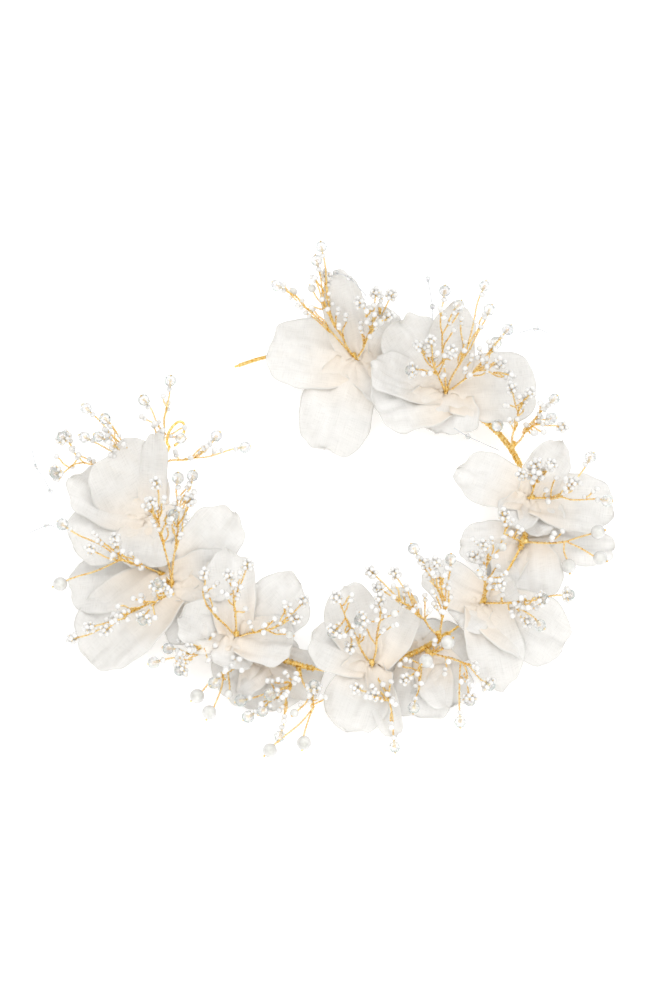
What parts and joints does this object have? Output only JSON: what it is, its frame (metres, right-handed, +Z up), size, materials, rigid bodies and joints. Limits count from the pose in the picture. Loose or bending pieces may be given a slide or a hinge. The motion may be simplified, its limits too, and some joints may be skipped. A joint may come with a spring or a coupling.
{
  "type": "flower crown",
  "caption": "Open wire hair vine ring with sheer fabric flowers and beaded wire sprays, bound with fine wire and ending in a pin loop.",
  "frame": {"origin": "centre of the crown's bounding box, on the surface it lies on", "axes": "+X across the ring, +Y from the front flowers to the open back, +Z up out of the flowers"},
  "size_m": [0.2462, 0.2204, 0.0545],
  "materials": {
    "gold_wire": "polished gold-coloured craft wire",
    "wrap_wire": "fine gold-coloured wire, close wound",
    "beaded_wire": "twisted gold-coloured wire with glass beads",
    "organza": "sheer slubbed ivory organza",
    "pearl": "white pearl coating on glass",
    "crystal": "clear faceted glass",
    "nylon": "clear nylon bristle with small clear beads"
  },
  "bodies": {
    "root": {"core_wire": "gold_wire", "tail_wrap": "wrap_wire", "end_loop": "gold_wire", "binding_01": "wrap_wire", "binding_02": "wrap_wire", "binding_03": "wrap_wire", "binding_04": "wrap_wire", "binding_05": "wrap_wire", "binding_06": "wrap_wire", "binding_07": "wrap_wire", "binding_08": "wrap_wire", "binding_09": "wrap_wire", "binding_10": "wrap_wire", "band_crystal": "crystal", "flower_01": "organza", "flower_02": "organza", "flower_03": "organza", "flower_04": "organza", "flower_05": "organza", "flower_06": "organza", "flower_07": "organza", "flower_08": "organza", "flower_09": "organza", "flower_10": "organza", "flower_11": "organza", "spray_01": "beaded_wire", "spray_02": "beaded_wire", "spray_03": "beaded_wire", "spray_04": "beaded_wire", "spray_05": "beaded_wire", "spray_06": "beaded_wire", "spray_07": "beaded_wire", "spray_08": "beaded_wire", "spray_09": "beaded_wire", "spray_10": "beaded_wire", "spray_11": "beaded_wire", "spray_12": "beaded_wire", "spray_13": "beaded_wire", "spray_14": "beaded_wire", "spray_15": "beaded_wire", "spray_16": "beaded_wire", "spray_17": "beaded_wire", "spray_18": "beaded_wire", "pearl_01": "pearl", "pearl_02": "pearl", "pearl_03": "pearl", "pearl_04": "pearl", "pearl_05": "pearl", "pearl_06": "pearl", "pearl_07": "pearl", "pearl_08": "pearl", "pearl_09": "pearl", "pearl_10": "pearl", "strand_01": "nylon", "strand_02": "nylon", "strand_03": "nylon", "strand_04": "nylon", "strand_05": "nylon", "strand_06": "nylon"}
  },
  "joints": []
}
